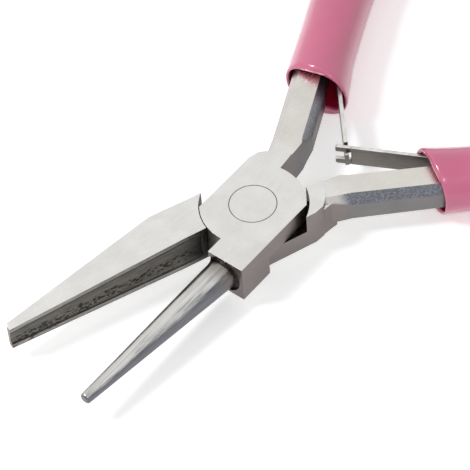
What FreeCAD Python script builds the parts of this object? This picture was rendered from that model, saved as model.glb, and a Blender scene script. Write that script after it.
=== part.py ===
# Looping pliers: one conical round jaw, one flat jaw with a hollow grip face, lap joint,
# riveted pivot, dipped grips and a pair of hooked leaf springs.
# Millimetres. +Z is the pivot axis, z = 0 is the joint's flat underside, +X points to the jaw tips.
# Each half is drawn in its own closed pose and turned by half the opening angle about the pivot.

import FreeCAD, Part
import math
import os
import Sketcher

V = FreeCAD.Vector

DIMENSIONS = {
    # joint
    "joint_thick": 6.8,         # full height of the steel at the joint
    "lap_gap": 0.04,            # air between the two lap plates
    "joint_half": 6.4,          # half width of the joint across the plates
    "centre_off": 0.25,         # the joint's centre line lies this far from the rivet's axis
    "grip_gap": 0.1,            # air between the closed jaws at their roots
    "plate_radius": 8.05,       # round shoulders of the lap plates
    "jaw_swing_gap": 0.15,      # air between a plate and the shoulder on the jaw side
    "back_swing_gap": 0.45,     # air between a plate and the shoulder on the handle side
    "half_opening": 10.4,       # degrees that each half is turned from closed
    "cut_past": 1.0,            # a cut runs this far past what it cuts
    # rivet
    "rivet_radius": 2.4,
    "head_radius": 3.6,
    "head_depth": 1.2,
    "run_clear": 0.08,          # radial running clearance of the rivet in the upper half
    "seat_clear": 0.01,         # clearance of a rivet in the piece that it is fixed to
    # flat jaw
    "jaw_reach": 41.5,          # pivot to tip
    "jaw_bend_x": 14.5,         # where the outer side turns in towards the tip
    "jaw_flare": 0.25,          # the outer side stands this much wider at the bend
    "jaw_tip_width": 1.4,
    "jaw_tip_thick": 4.4,
    "taper_start": 12.0,        # where the thickness starts to fall
    "tip_round": 0.5,
    "groove_start": 9.0,
    "groove_rim": 0.85,         # flat rim left above and below the hollow
    "groove_depth": 0.55,       # depth of the hollow at its root
    "groove_tip_depth": 0.3,
    # round jaw
    "block_front": 11.1,        # pivot to the block's front face
    "cone_reach": 40.8,
    "cone_base_radius": 2.5,
    "cone_tip_radius": 0.9,
    "cone_tip_round": 0.4,
    "cone_root_fillet": 0.7,
    "turned_radius": 3.25,       # circle turned into the block's front face round the cone
    "turned_depth": 0.4,
    # block behind the joint, milled at full height
    "block_side_x": 6.9,        # its outer side is straight up to here
    "block_waist_x": 8.7,       # then it is hollowed towards the shank
    "block_waist": 5.8,         # the hollow's middle, from the centre line
    "block_edge_x": 8.5,        # outer and middle points of the milled edge
    "block_edge": 5.95,
    "block_edge_mid_x": 10.5,
    "block_edge_mid": 3.5,
    "web_inset": 0.7,           # the web ends this far inside the shank's outer side
    "web_top": 5.6,             # lower step between the milled edge and the shank
    "inner_from_x": 8.0,        # the block's and the shank's inner side is a straight milled plane
    "inner_from": 1.25,         # its distance from the centre line there
    "inner_to_x": 14.6,
    "inner_to": 1.9,
    "inner_end_x": 11.25,
    # shank, as an axis and bevelled sections at distances along it
    "handle_angle": 24.9,       # degrees between a closed handle and the centre line
    "shank_axis": 2.5,          # distance of the shank's axis from the pivot
    "shank_from": 9.3,
    "shank_full": 14.7,
    "shank_to": 30.0,
    "shank_width": 5.85,
    "shank_root_thick": 6.4,
    "shank_thick": 6.0,
    "shank_end_thick": 5.7,
    "bevel_root": 0.5,          # width of the shank's bevels at the joint
    "bevel_width": 1.15,
    "bevel_fall": 1.25,         # a bevel's height over its width
    # tang inside the grip
    "tang_width": 4.4,
    "tang_thick": 4.6,
    "tang_from": 24.0,
    "relief_from": 25.2,        # the shank's inner side is cut away from here for the leaf
    "relief_run": 3.0,
    "bow_start": 44.0,          # the handle is straight up to here, then bows in
    "bow_radius": 80.0,
    "bow_angle": 29.0,
    "tang_short": 6.0,          # degrees of bow that the tang stops short of the grip
    # grip
    "grip_radius": 4.95,
    "grip_wall": 0.8,
    "grip_mouth": 27.1,         # distance of the mouth's centre along the handle
    "mouth_slant": 17.0,        # degrees; the inner side reaches further to the joint
    "flare_from": 33.0,         # the sleeve widens from here to its mouth
    "flare_radius": 0.55,       # outer radius gained where the sleeve starts
    "flare_shift": 0.37,        # and shift of its centre to the leaf's side
    "bore_flare_radius": 0.78,   # the same for the bore
    "bore_flare_shift": 0.55,
    "bore_end": 42.0,
    "grip_shift": 0.85,         # the grip's axis lies this far inside the shank's
    # leaf springs
    "leaf_thick": 0.6,
    "leaf_width": 3.7,
    "leaf_root": 34.1,          # distance of the flexing root along the handle
    "leaf_lift": 0.08,          # air between the leaf's free root and the tang
    "leaf_length": 19.9,        # root to hook
    "tab_length": 6.5,
    "tab_gap": 0.35,
    "fork_slot": 1.6,
    "fork_out": 1.6,            # the prongs reach this far past the hook point
    "fork_in": 0.85,            # the slot runs this far behind it
    "neck_width": 1.3,
    "neck_reach": 1.15,         # half length of the tongue's neck
    "tongue_head": 2.3,
    "tongue_head_length": 0.6,
    "leaf_rivet_radius": 0.7,
    "leaf_rivet_head": 1.2,
    "leaf_rivet_head_height": 0.5,
    "leaf_rivet_depth": 2.2,
    "leaf_rivet_at": 3.6,
}

doc = FreeCAD.newDocument("pliers")
sheet = doc.addObject("Spreadsheet::Sheet", "sizes")
for row, (alias, value) in enumerate(DIMENSIONS.items(), start=1):
    sheet.set("A%d" % row, alias)
    sheet.set("B%d" % row, str(value))
    sheet.setAlias("B%d" % row, alias)
doc.recompute()


def size(alias):
    return float(sheet.get(alias))


THICK = size("joint_thick")
MID = THICK / 2
OFF = size("centre_off")
HANDLE = math.radians(size("handle_angle"))
AXIS = size("shank_axis")
GRIP_AXIS = AXIS + size("grip_shift")
TANG_FACE = AXIS + size("tang_width") / 2
LEAF_LINE = TANG_FACE + size("leaf_lift") + size("leaf_thick") / 2

# side is +1 for the half with the round jaw and -1 for its mirror image, the half with the flat jaw
ROUND = 1
FLAT = -1


def mirrored(x, y, side):
    """A point drawn for the round-jaw half, carried to the half that is asked for."""
    return V(x, OFF + side * (y - OFF), 0)


def along(distance, offset, side):
    """A point at a distance along the closed handle and an offset to its inner side."""
    x = -distance * math.cos(HANDLE) - offset * math.sin(HANDLE)
    y = -distance * math.sin(HANDLE) + offset * math.cos(HANDLE)
    return mirrored(x, y, side)


def bowed(turn, offset, side):
    """A point on the bowed stretch, at an angle of bow and an offset to the inner side."""
    angle = math.radians(turn)
    reach = size("bow_radius") - (offset - AXIS)
    centre_offset = AXIS + size("bow_radius")
    distance = size("bow_start") + reach * math.sin(angle)
    return along(distance, centre_offset - reach * math.cos(angle), side)


def turned_half(obj, side):
    """Opens a half by its share of the opening angle."""
    obj.Placement = FreeCAD.Placement(V(0, 0, 0), FreeCAD.Rotation(V(0, 0, 1), side * size("half_opening")))


def new_body(name, side):
    body = doc.addObject("PartDesign::Body", name)
    body.Label = name
    turned_half(body, side)
    return body


def plane(body, role):
    return [feature for feature in body.Origin.OriginFeatures if feature.Role == role][0]


def new_sketch(body, name, role="XY_Plane", offset=None):
    sketch = body.newObject("Sketcher::SketchObject", name)
    sketch.AttachmentSupport = [(plane(body, role), "")]
    sketch.MapMode = "FlatFace"
    if offset is not None:
        sketch.AttachmentOffset = offset
    return sketch


def at_height(height):
    return FreeCAD.Placement(V(0, 0, height), FreeCAD.Rotation())


def trace(sketch, start, steps):
    """Draws a closed outline: each step is the next corner, or a point on an arc and the arc's end."""
    here = start
    for step in steps:
        if isinstance(step, tuple):
            sketch.addGeometry(Part.Arc(here, step[0], step[1]), False)
            here = step[1]
        else:
            sketch.addGeometry(Part.LineSegment(here, step), False)
            here = step
    if here.distanceToPoint(start) > 1e-6:
        sketch.addGeometry(Part.LineSegment(here, start), False)
    ends = [(edge, side) for edge in range(sketch.GeometryCount) for side in (1, 2)]
    for number, one in enumerate(ends):
        for other in ends[number + 1:]:
            if sketch.getPoint(*one).distanceToPoint(sketch.getPoint(*other)) < 1e-6:
                sketch.addConstraint(Sketcher.Constraint("Coincident", *one, *other))


def disc(sketch, radius):
    """A circle about the sketch's origin, its radius bound to the sheet."""
    sketch.addGeometry(Part.Circle(V(0, 0, 0), V(0, 0, 1), 1.0), False)
    sketch.addConstraint(Sketcher.Constraint("Coincident", 0, 3, -1, 1))
    index = sketch.addConstraint(Sketcher.Constraint("Radius", 0, 1.0))
    sketch.setExpression("Constraints[%d]" % index, radius)


def settle(feature, sketch):
    sketch.Visibility = False
    doc.recompute()
    return feature


def pad(body, sketch, name, length, midplane=False):
    feature = body.newObject("PartDesign::Pad", name)
    feature.Profile = sketch
    feature.Midplane = midplane
    feature.setExpression("Length", length)
    return settle(feature, sketch)


def pocket(body, sketch, name, length, midplane=False, reverse=False):
    """Cuts a sketch out of its body, and makes sure that something was cut."""
    before = body.Shape.Volume
    feature = body.newObject("PartDesign::Pocket", name)
    feature.Profile = sketch
    feature.Midplane = midplane
    feature.Reversed = reverse
    feature.setExpression("Length", length)
    settle(feature, sketch)
    if not body.Shape.Volume < before:
        raise RuntimeError("nothing was cut by " + name)
    return feature


def round_cut(body, name, place, radius, height, role="XY_Plane"):
    """A cylinder cut out of its body, from a plane of the body's own origin."""
    before = body.Shape.Volume
    cut = body.newObject("PartDesign::SubtractiveCylinder", name)
    cut.AttachmentSupport = [(plane(body, role), "")]
    cut.MapMode = "FlatFace"
    cut.AttachmentOffset = place
    cut.setExpression("Radius", radius)
    cut.setExpression("Height", height)
    doc.recompute()
    if not body.Shape.Volume < before:
        raise RuntimeError("nothing was cut by " + name)


def across_handle(body, name, distance, offset, side):
    """A sketch square to the handle, centred at a distance along it and an offset to its inner side."""
    centre = along(distance, offset, side)
    turn = FreeCAD.Rotation(V(0, 1, 0), side * size("handle_angle"))
    return new_sketch(body, name, "YZ_Plane", FreeCAD.Placement(V(centre.y, MID, centre.x), turn))


def bevelled_section(body, name, distance, thick, bevel, side):
    """The shank's section: a rectangle with its four corners bevelled."""
    sketch = across_handle(body, name, distance, AXIS, side)
    a, b = size("shank_width") / 2, thick / 2
    c, d = bevel, bevel * size("bevel_fall")
    trace(sketch, V(-a + c, -b, 0), [
        V(a - c, -b, 0), V(a, -b + d, 0), V(a, b - d, 0), V(a - c, b, 0),
        V(-a + c, b, 0), V(-a, b - d, 0), V(-a, -b + d, 0),
    ])
    return sketch


def lap_plate(body, bottom):
    """The half-height plate that turns against the other half's."""
    sketch = new_sketch(body, "plate_outline", offset=at_height(bottom))
    radius, half = size("plate_radius"), size("joint_half")
    low, high = OFF - half, OFF + half
    low_x = math.sqrt(radius ** 2 - low ** 2)
    high_x = math.sqrt(radius ** 2 - high ** 2)
    trace(sketch, V(-high_x, high, 0), [
        V(high_x, high, 0), (V(radius, 0, 0), V(low_x, low, 0)),
        V(-low_x, low, 0), (V(-radius, 0, 0), V(-high_x, high, 0)),
    ])
    pad(body, sketch, "lap_plate", "sizes.joint_thick / 2 - sizes.lap_gap / 2")


def inner_plane(x):
    """The inner milled plane's distance below the centre line at a distance behind the pivot."""
    slope = (size("inner_to") - size("inner_from")) / (size("inner_to_x") - size("inner_from_x"))
    return OFF - size("inner_from") - slope * (x - size("inner_from_x"))


def block(body, side):
    """The full-height block behind the joint, and the lower web that joins it to the shank."""
    outer = OFF - size("joint_half")
    straight, inside, end = size("block_side_x"), size("head_radius"), size("inner_end_x")
    in_shank = shank_outer(end) + size("web_inset")
    edge = V(-size("block_edge_x"), OFF - size("block_edge"), 0)
    milled = [
        (-inside, outer), (-straight, outer), (edge.x, edge.y),
        (-size("block_edge_mid_x"), OFF - size("block_edge_mid")), (-end, inner_plane(end)),
        (-inside, inner_plane(inside)),
    ]
    corners = [mirrored(x, y, side) for x, y in milled]
    sketch = new_sketch(body, "block_outline")
    trace(sketch, corners[0], [corners[1], corners[2], (corners[3], corners[4]), corners[5]])
    pad(body, sketch, "block", "sizes.joint_thick")
    lower = [
        (-inside, outer), (-straight, outer),
        (-size("block_waist_x"), OFF - size("block_waist")), (-end, in_shank),
        (-end, inner_plane(end)), (-inside, inner_plane(inside)),
    ]
    corners = [mirrored(x, y, side) for x, y in lower]
    sketch = new_sketch(body, "web_outline")
    trace(sketch, corners[0], [corners[1], (corners[2], corners[3]), corners[4], corners[5]])
    pad(body, sketch, "web", "sizes.web_top")


def shank_outer(x):
    """Where the shank's outer side crosses a distance behind the pivot, closed."""
    angle = math.radians(size("handle_angle"))
    offset = AXIS - size("shank_width") / 2
    distance = (x - offset * math.sin(angle)) / math.cos(angle)
    return offset * math.cos(angle) - distance * math.sin(angle)


def clear_other_layer(body, bottom):
    """Cuts the round shoulders in which the other half's plate turns."""
    for name, gap, front in (("jaw_shoulder", "jaw_swing_gap", 1), ("back_shoulder", "back_swing_gap", -1)):
        radius = size("plate_radius") + size(gap)
        sketch = new_sketch(body, name + "_outline", offset=at_height(bottom))
        trace(sketch, V(0, -radius, 0), [(V(front * radius, 0, 0), V(0, radius, 0))])
        pocket(body, sketch, name, "sizes.joint_thick / 2 + sizes.lap_gap / 2", reverse=True)


def tang_outline(sketch, side):
    """The tang's plan: straight, then bowed, with a round end."""
    half = size("tang_width") / 2
    end = size("bow_angle") - size("tang_short")
    middle = end / 2
    tip = bowed(end, AXIS, side)
    onward = (tip - bowed(end - 1, AXIS, side)).normalize()
    trace(sketch, along(size("tang_from"), AXIS - half, side), [
        along(size("bow_start"), AXIS - half, side),
        (bowed(middle, AXIS - half, side), bowed(end, AXIS - half, side)),
        (tip + onward * half, bowed(end, AXIS + half, side)),
        (bowed(middle, AXIS + half, side), along(size("bow_start"), AXIS + half, side)),
        along(size("tang_from"), AXIS + half, side),
    ])


def shank_and_tang(body, side):
    stations = [
        ("shank_from", "shank_root_thick", "bevel_root"),
        ("shank_full", "shank_thick", "bevel_width"),
        ("shank_to", "shank_end_thick", "bevel_width"),
    ]
    sections = [
        bevelled_section(body, "shank_section_%d" % number, size(place), size(thick), size(bevel), side)
        for number, (place, thick, bevel) in enumerate(stations)
    ]
    shank = body.newObject("PartDesign::AdditiveLoft", "shank")
    shank.Profile = sections[0]
    shank.Sections = sections[1:]
    shank.Ruled = True
    settle(shank, sections[0])
    near, far = size("plate_radius") + size("back_swing_gap"), size("inner_to_x") * 2
    above = OFF + size("joint_half")
    trim = new_sketch(body, "inner_side_outline")
    corners = [(-near, inner_plane(near)), (-far, inner_plane(far)), (-far, above), (-near, above)]
    corners = [mirrored(x, y, side) for x, y in corners]
    trace(trim, corners[0], corners[1:])
    pocket(body, trim, "inner_side", "2 * sizes.joint_thick", midplane=True)
    relief = new_sketch(body, "leaf_relief_outline")
    start, run = size("relief_from"), size("relief_run")
    beyond = 2 * size("shank_to") - size("relief_from")
    surface = AXIS + size("shank_width") / 2
    far = surface + size("leaf_thick")
    trace(relief, along(start, far, side), [
        along(start, surface, side), along(start + run, TANG_FACE, side),
        along(beyond, TANG_FACE, side), along(beyond, far, side),
    ])
    pocket(body, relief, "leaf_relief", "2 * sizes.joint_thick", midplane=True)
    sketch = new_sketch(body, "tang_outline", offset=at_height(MID))
    tang_outline(sketch, side)
    pad(body, sketch, "tang", "sizes.tang_thick", midplane=True)


def inward(side):
    """Turns +Z to the direction from a closed handle's axis to its inner side."""
    return FreeCAD.Rotation(V(0, 0, 1), along(0, 1, side) - along(0, 0, side))


def leaf_rivet_place(offset, side):
    """A place on the leaf rivet's axis at an offset from the pivot's line, aimed inwards."""
    foot = along(size("leaf_root") + size("leaf_rivet_at"), offset, side)
    return FreeCAD.Placement(V(foot.x, foot.y, MID), inward(side))


def pivot_hole(body, running):
    """The rivet's hole with a round seat for its head. The turning half gets running clearance."""
    gap = "sizes.run_clear" if running else "sizes.seat_clear"
    sketch = new_sketch(body, "pivot_hole_outline")
    disc(sketch, "sizes.rivet_radius + " + gap)
    pocket(body, sketch, "pivot_hole", "sizes.joint_thick", reverse=True)
    seat = new_sketch(body, "head_seat_outline", offset=at_height(THICK if running else 0))
    disc(seat, "sizes.head_radius + " + gap)
    pocket(body, seat, "head_seat", "sizes.head_depth + " + gap, reverse=not running)


def flat_jaw(body):
    """The long tapered jaw with its hollow grip face."""
    outer = OFF - size("joint_half")
    grip_face = OFF - size("grip_gap") / 2
    reach, bend, tip = size("jaw_reach"), size("jaw_bend_x"), size("jaw_tip_width")
    start = size("cone_base_radius")
    r = size("tip_round")
    k = r * (1 - math.sqrt(0.5))
    sketch = new_sketch(body, "jaw_outline")
    trace(sketch, V(start, outer, 0), [
        V(size("plate_radius"), outer, 0), V(bend, outer - size("jaw_flare"), 0),
        V(reach - r, grip_face - tip, 0),
        (V(reach - k, grip_face - tip + k, 0), V(reach, grip_face - tip + r, 0)),
        V(reach, grip_face, 0), V(start, grip_face, 0),
    ])
    pad(body, sketch, "jaw", "sizes.joint_thick")
    past = reach + size("cut_past")
    taper_from = size("taper_start")
    fall = (THICK - size("jaw_tip_thick")) / 2 * (past - taper_from) / (reach - taper_from)
    for name, level, way in (("upper_taper", THICK, -1), ("lower_taper", 0, 1)):
        taper = new_sketch(body, name + "_outline", "XZ_Plane")
        trace(taper, V(taper_from, level, 0), [
            V(past, level + way * fall, 0), V(past, level - way, 0), V(taper_from, level - way, 0),
        ])
        pocket(body, taper, name, "4 * sizes.joint_half", midplane=True)
    grip_hollow(body, grip_face)


def hollow_radius(half_chord, depth):
    """The radius of an arc with this half chord and depth."""
    return (half_chord ** 2 + depth ** 2) / (2 * depth)


def grip_hollow(body, grip_face):
    """A shallow conical hollow along the grip face that leaves a flat rim above and below."""
    rim = size("groove_rim")
    root_depth, tip_depth = size("groove_depth"), size("groove_tip_depth")
    root_radius = hollow_radius(THICK / 2 - rim, root_depth)
    tip_radius = hollow_radius(size("jaw_tip_thick") / 2 - rim, tip_depth)
    start, reach = size("groove_start"), size("jaw_reach")
    beyond = reach + size("cut_past")
    past = (beyond - start) / (reach - start)
    end_radius = root_radius + (tip_radius - root_radius) * past
    end_depth = root_depth + (tip_depth - root_depth) * past
    root = V(start, grip_face - root_depth, 0)
    end = V(beyond, grip_face - end_depth, 0)
    sketch = new_sketch(body, "hollow_outline", offset=at_height(MID))
    trace(sketch, root, [end, end + V(0, end_radius, 0), root + V(0, root_radius, 0)])
    before = body.Shape.Volume
    groove = body.newObject("PartDesign::Groove", "grip_hollow")
    groove.Profile = sketch
    groove.ReferenceAxis = (sketch, ["Edge3"])
    groove.Angle = 360
    settle(groove, sketch)
    if not body.Shape.Volume < before:
        raise RuntimeError("the grip face was not hollowed")


def round_jaw(body):
    """The square block in front of the joint and the cone that grows out of it."""
    outer = OFF + size("joint_half")
    inner = OFF + size("grip_gap") / 2
    front = size("block_front")
    base, tip, reach = size("cone_base_radius"), size("cone_tip_radius"), size("cone_reach")
    sketch = new_sketch(body, "front_block_outline")
    trace(sketch, V(base, inner, 0), [V(front, inner, 0), V(front, outer, 0), V(base, outer, 0)])
    pad(body, sketch, "front_block", "sizes.joint_thick")
    face = front - size("turned_depth")
    round_cut(body, "turned_face", FreeCAD.Placement(V(inner + base, MID, face), FreeCAD.Rotation()),
              "sizes.turned_radius", "sizes.turned_depth * 2", "YZ_Plane")
    slope = math.atan((base - tip) / (reach - front))
    lean = FreeCAD.Rotation(V(0, 0, 1), -math.degrees(slope))
    place = FreeCAD.Placement(V(face, inner + base, MID), lean)
    length = (reach - face) / math.cos(slope)
    fillet, r = size("cone_root_fillet"), size("cone_tip_round")
    inside = -size("turned_depth")
    k = r * (1 - math.sqrt(0.5))
    j = fillet * (1 - math.sqrt(0.5))
    cone = new_sketch(body, "cone_outline", offset=place)
    trace(cone, V(inside, 0, 0), [
        V(length, 0, 0), V(length, tip - r, 0), (V(length - k, tip - k, 0), V(length - r, tip, 0)),
        V(fillet, base, 0), (V(j, base + j, 0), V(0, base + fillet, 0)), V(inside, base + fillet, 0),
    ])
    turn = body.newObject("PartDesign::Revolution", "cone")
    turn.Profile = cone
    turn.ReferenceAxis = (cone, ["H_Axis"])
    turn.Angle = 360
    settle(turn, cone)
    flush = new_sketch(body, "root_trim_outline")
    past_plate = size("plate_radius") + size("jaw_swing_gap")
    trace(flush, V(past_plate, inner - base, 0), [
        V(front + base, inner - base, 0), V(front + base, inner, 0), V(past_plate, inner, 0)])
    pocket(body, flush, "root_trim", "2 * sizes.joint_thick", midplane=True)


def steel_half(name, side):
    """One half of the pliers: jaw, lap plate, neck, shank and the tang inside its grip."""
    body = new_body(name, side)
    upper = MID + size("lap_gap") / 2
    lap_plate(body, upper if side == ROUND else 0)
    block(body, side)
    if side == ROUND:
        round_jaw(body)
    else:
        flat_jaw(body)
    clear_other_layer(body, 0 if side == ROUND else MID - size("lap_gap") / 2)
    shank_and_tang(body, side)
    pivot_hole(body, side == ROUND)
    round_cut(body, "leaf_rivet_hole", leaf_rivet_place(TANG_FACE - size("leaf_rivet_depth"), side),
              "sizes.leaf_rivet_radius + sizes.seat_clear", "sizes.leaf_rivet_depth + sizes.leaf_thick")
    return body


def pivot_rivet():
    """A headed rivet, fast in the flat-jaw half and running in the other, flush on both sides."""
    body = new_body("pivot_rivet", FLAT)
    parts = [("stem", 0, "sizes.rivet_radius", "sizes.joint_thick"),
             ("lower_head", 0, "sizes.head_radius", "sizes.head_depth"),
             ("upper_head", THICK - size("head_depth"), "sizes.head_radius", "sizes.head_depth")]
    for name, bottom, radius, height in parts:
        sketch = new_sketch(body, name + "_outline", offset=at_height(bottom))
        disc(sketch, radius)
        pad(body, sketch, name, height)
    return body


def grip(name, side):
    """A dipped sleeve over the tang: slanted open mouth, round bore for the leaf, domed far end."""
    body = new_body(name, side)
    start = along(size("grip_mouth") - size("grip_radius"), GRIP_AXIS, side)
    bend = along(size("bow_start"), GRIP_AXIS, side)
    end = bowed(size("bow_angle"), GRIP_AXIS, side)
    path = new_sketch(body, "grip_path", offset=at_height(MID))
    path.addGeometry(Part.LineSegment(start, bend), False)
    path.addGeometry(Part.Arc(bend, bowed(size("bow_angle") / 2, GRIP_AXIS, side), end), False)
    section = across_handle(body, "grip_section", size("grip_mouth") - size("grip_radius"), GRIP_AXIS, side)
    disc(section, "sizes.grip_radius")
    pipe = body.newObject("PartDesign::AdditivePipe", "sleeve")
    pipe.Profile = section
    pipe.Spine = path
    settle(pipe, section)
    dome = body.newObject("PartDesign::AdditiveSphere", "dome")
    dome.AttachmentSupport = [(plane(body, "XY_Plane"), "")]
    dome.MapMode = "FlatFace"
    dome.AttachmentOffset = FreeCAD.Placement(V(end.x, end.y, MID), FreeCAD.Rotation())
    dome.setExpression("Radius", "sizes.grip_radius")
    doc.recompute()
    flare(body, "AdditiveCone", "mouth_flare", "sizes.grip_radius",
          "sizes.flare_radius", "flare_shift", side)
    mouth_cut(body, side)
    bore_foot = along(size("bore_end"), GRIP_AXIS, side)
    aim = FreeCAD.Rotation(V(0, 0, 1), along(0, 0, side) - along(1, 0, side))
    round_cut(body, "bore", FreeCAD.Placement(V(bore_foot.x, bore_foot.y, MID), aim),
              "sizes.grip_radius - sizes.grip_wall", "sizes.bore_end")
    flare(body, "SubtractiveCone", "bore_flare", "sizes.grip_radius - sizes.grip_wall",
          "sizes.bore_flare_radius", "bore_flare_shift", side)
    hollow = new_sketch(body, "tang_hollow_outline", offset=at_height(MID))
    tang_outline(hollow, side)
    pocket(body, hollow, "tang_hollow", "sizes.tang_thick", midplane=True)
    return body


def flare(body, kind, name, radius, gain, shift, side):
    """A cone that widens to the sleeve's mouth and leans to the leaf's side, added or cut."""
    deep = along(size("flare_from"), GRIP_AXIS, side)
    mouth = along(size("grip_mouth") - size("grip_radius"), GRIP_AXIS + size(shift), side)
    cone = body.newObject("PartDesign::" + kind, name)
    cone.AttachmentSupport = [(plane(body, "XY_Plane"), "")]
    cone.MapMode = "FlatFace"
    aim = FreeCAD.Rotation(V(0, 0, 1), mouth - deep)
    cone.AttachmentOffset = FreeCAD.Placement(V(deep.x, deep.y, MID), aim)
    cone.setExpression("Radius1", radius)
    cone.setExpression("Radius2", radius + " + " + gain)
    cone.Height = deep.distanceToPoint(mouth)
    doc.recompute()


def mouth_cut(body, side):
    """Slants the mouth so that its inner side reaches nearer to the joint."""
    mouth = new_sketch(body, "mouth_outline", offset=at_height(MID))
    lean = math.tan(math.radians(size("mouth_slant")))
    wide = 2 * size("grip_radius")
    centre = size("grip_mouth")
    trace(mouth, along(centre + wide * lean, GRIP_AXIS - wide, side), [
        along(centre - wide * lean, GRIP_AXIS + wide, side),
        along(centre - 2 * wide, GRIP_AXIS + wide, side),
        along(centre - 2 * wide, GRIP_AXIS - wide, side),
    ])
    pocket(body, mouth, "mouth", "4 * sizes.grip_radius", midplane=True)


def leaf_frame(side):
    """The leaf's root, its direction to the hook and the direction off its inner face, both closed."""
    root = along(size("leaf_root"), LEAF_LINE, side)
    opened = FreeCAD.Rotation(V(0, 0, 1), side * size("half_opening"))
    root_open = opened.multVec(root)
    rise = abs(root_open.y - OFF)
    forward = V(math.sqrt(size("leaf_length") ** 2 - rise ** 2), side * rise, 0).normalize()
    forward = opened.inverted().multVec(forward)
    across = V(-forward.y * side, forward.x * side, 0)
    return root, forward, across


def leaf_sketch(body, name, side, corners, height=None):
    """An outline given as lengths along the leaf and across it, from its root."""
    root, forward, across = leaf_frame(side)
    sketch = new_sketch(body, name, offset=at_height(MID if height is None else height))
    points = [root + forward * run + across * rise for run, rise in corners]
    trace(sketch, points[0], points[1:])
    return sketch


def leaf(name, side):
    """The free part of a leaf spring, from its flexing root to its hook."""
    body = new_body(name, side)
    half = size("leaf_thick") / 2
    length = size("leaf_length")
    if side == FLAT:
        end = length + size("fork_out")
        strip = leaf_sketch(body, "strip_outline", side, [(0, -half), (end, -half), (end, half), (0, half)])
        pad(body, strip, "strip", "sizes.leaf_width", midplane=True)
        base, wide = length - size("fork_in"), half + size("cut_past")
        beyond = end + size("cut_past")
        slot = leaf_sketch(body, "slot_outline", side, [
            (base, -wide), (beyond, -wide), (beyond, wide), (base, wide)])
        pocket(body, slot, "slot", "sizes.fork_slot", midplane=True)
        return body
    shoulder = length - size("neck_reach")
    head = length + size("neck_reach")
    strip = leaf_sketch(body, "strip_outline", side, [
        (0, -half), (shoulder, -half), (shoulder, half), (0, half)])
    pad(body, strip, "strip", "sizes.leaf_width", midplane=True)
    tongue = leaf_sketch(body, "tongue_outline", side, [
        (shoulder - half, -half), (head + half, -half), (head + half, half), (shoulder - half, half)])
    pad(body, tongue, "tongue", "sizes.neck_width", midplane=True)
    end = head + size("tongue_head_length")
    tip = leaf_sketch(body, "head_outline", side, [(head, -half), (end, -half), (end, half), (head, half)])
    pad(body, tip, "tongue_head", "sizes.tongue_head", midplane=True)
    return body


def leaf_tab(name, side):
    """The fixed end of a leaf spring, flat on the tang, holed for its rivet."""
    body = new_body(name, side)
    start = size("leaf_root") + size("tab_gap")
    end = start + size("tab_length")
    low, high = TANG_FACE, TANG_FACE + size("leaf_thick")
    sketch = new_sketch(body, "tab_outline", offset=at_height(MID))
    trace(sketch, along(start, low, side), [
        along(end, low, side), along(end, high, side), along(start, high, side)])
    pad(body, sketch, "tab", "sizes.leaf_width", midplane=True)
    round_cut(body, "rivet_hole", leaf_rivet_place(TANG_FACE - size("cut_past"), side),
              "sizes.leaf_rivet_radius + sizes.seat_clear", "sizes.leaf_thick + 2 * sizes.cut_past")
    return body


def leaf_rivet(name, side):
    """The rivet that fastens a leaf's tab to the tang."""
    body = new_body(name, side)
    pieces = [("stem", TANG_FACE - size("leaf_rivet_depth"), "sizes.leaf_rivet_radius",
               "sizes.leaf_rivet_depth + sizes.leaf_thick + sizes.leaf_rivet_head_height / 2"),
              ("head", TANG_FACE + size("leaf_thick"), "sizes.leaf_rivet_head",
               "sizes.leaf_rivet_head_height")]
    for label, offset, radius, height in pieces:
        cylinder = body.newObject("PartDesign::AdditiveCylinder", label)
        cylinder.AttachmentSupport = [(plane(body, "XY_Plane"), "")]
        cylinder.MapMode = "FlatFace"
        cylinder.AttachmentOffset = leaf_rivet_place(offset, side)
        cylinder.setExpression("Radius", radius)
        cylinder.setExpression("Height", height)
        doc.recompute()
    return body


NODES = [
    steel_half("flat_jaw_half", FLAT),
    steel_half("round_jaw_half", ROUND),
    pivot_rivet(),
    grip("grip_flat_side", FLAT),
    grip("grip_round_side", ROUND),
    leaf("leaf_fork", FLAT),
    leaf("leaf_tongue", ROUND),
    leaf_tab("leaf_tab_flat_side", FLAT),
    leaf_tab("leaf_tab_round_side", ROUND),
    leaf_rivet("leaf_rivet_flat_side", FLAT),
    leaf_rivet("leaf_rivet_round_side", ROUND),
]

doc.recompute()
for obj in doc.Objects:
    if "Invalid" in obj.State or "Error" in obj.State:
        raise RuntimeError("%s failed: %s" % (obj.Name, obj.State))
os.makedirs("parts", exist_ok=True)
for node in NODES:
    shape = node.Shape
    if shape.isNull() or not shape.isValid() or len(shape.Solids) != 1:
        raise RuntimeError("%s is not one valid solid" % node.Label)
    shape.exportStep(os.path.join("parts", node.Label + ".step"))
    box = shape.BoundBox
    print("%-22s %9.2f mm3  x %7.2f %7.2f  y %7.2f %7.2f  z %6.2f %6.2f" % (
        node.Label, shape.Volume, box.XMin, box.XMax, box.YMin, box.YMax, box.ZMin, box.ZMax))
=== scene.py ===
"""Looping pliers: the finish of the steel, the dipped grips and the leaf springs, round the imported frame."""
import math

import bmesh
import bpy
from bpy.props import FloatProperty, PointerProperty, StringProperty
from mathutils import Matrix, Vector, noise


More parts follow.
